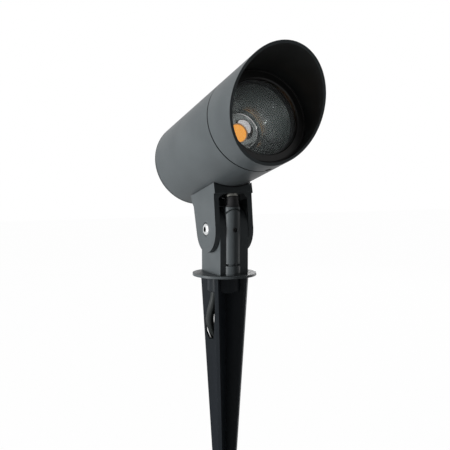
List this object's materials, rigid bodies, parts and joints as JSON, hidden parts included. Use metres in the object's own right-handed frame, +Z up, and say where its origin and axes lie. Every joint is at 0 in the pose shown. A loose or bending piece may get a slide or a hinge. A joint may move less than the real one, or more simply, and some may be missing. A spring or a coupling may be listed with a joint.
{
  "type": "garden spike spotlight",
  "caption": "Outdoor spotlight on a ground spike: a tubular lamp with a slanted glare cowl tilts in a yoke on a swivelling stem above a cross-bladed spike.",
  "frame": {"origin": "on the spike's axis at the underside of the round flange, which is ground level", "axes": "+Z up along the spike's axis, -Y the way the lamp looks, +X to the lamp's left"},
  "size_m": [0.076, 0.1722, 0.3883],
  "materials": {
    "powder_coat": "satin dark grey powder coat",
    "stainless": "bright stainless steel",
    "dark_steel": "blackened steel",
    "black_rubber": "matt",
    "cable_sheath": "smooth matt sheath",
    "clear_glass": "clear",
    "black_anodised": "black anodised",
    "plain_aluminium": "machined",
    "white_board": "white solder mask",
    "phosphor": "orange silicone",
    "bright_chrome": "polished",
    "mirror_film": "faceted, vacuum metallised",
    "driver_case": "potted case",
    "lead_insulation": "silicone insulation",
    "nickel_gland": "nickel plated",
    "brass_bolt": "turned",
    "bush_plastic": "natural acetal",
    "spike_plastic": "black, slightly glossy",
    "bare_copper": "tinned copper strands"
  },
  "bodies": {
    "spike": {"ground_spike": "spike_plastic", "supply_cable": "cable_sheath", "bare_cores": "bare_copper"},
    "stem": {"stem": "powder_coat", "pivot_bush": "bush_plastic", "cable_cover": "powder_coat", "cable_cover_screw": "dark_steel", "base_flange": "powder_coat", "flange_screws": "stainless", "cable_boot": "black_rubber", "stem_cable": "cable_sheath", "hollow_bolt": "brass_bolt", "swivel_washer": "stainless", "swivel_nut": "stainless"},
    "head": {"lamp_housing": "powder_coat", "rear_cover": "powder_coat", "rear_cover_screws": "stainless", "rear_seal": "black_rubber", "glare_cowl": "powder_coat", "front_seal": "black_rubber", "cowl_grub_screw": "dark_steel", "lens_gasket": "black_rubber", "glass_lens": "clear_glass", "lens_retaining_ring": "black_anodised", "heat_spreader": "plain_aluminium", "heat_spreader_screws": "stainless", "led_board": "white_board", "led_phosphor": "phosphor", "led_collar": "bright_chrome", "reflector": "mirror_film", "led_driver": "driver_case", "led_leads": "lead_insulation", "head_cable": "cable_sheath", "yoke": "powder_coat", "saddle_pad": "black_rubber", "yoke_screws": "stainless", "cable_gland": "nickel_gland", "pivot_bolt": "stainless", "pivot_washer": "stainless", "pivot_nut": "stainless"}
  },
  "joints": [
    {"name": "stem_swivel", "type": "hinge", "parent": "spike", "child": "stem", "pos_m": [0, 0, 0], "axis": [0, 0, 1], "range_deg": [-170, 170]},
    {"name": "head_tilt", "type": "hinge", "parent": "stem", "child": "head", "pos_m": [0, 0, 0.0381], "axis": [-1, 0, 0], "range_deg": [-14, 58], "deforming": ["cable_boot"]}
  ]
}
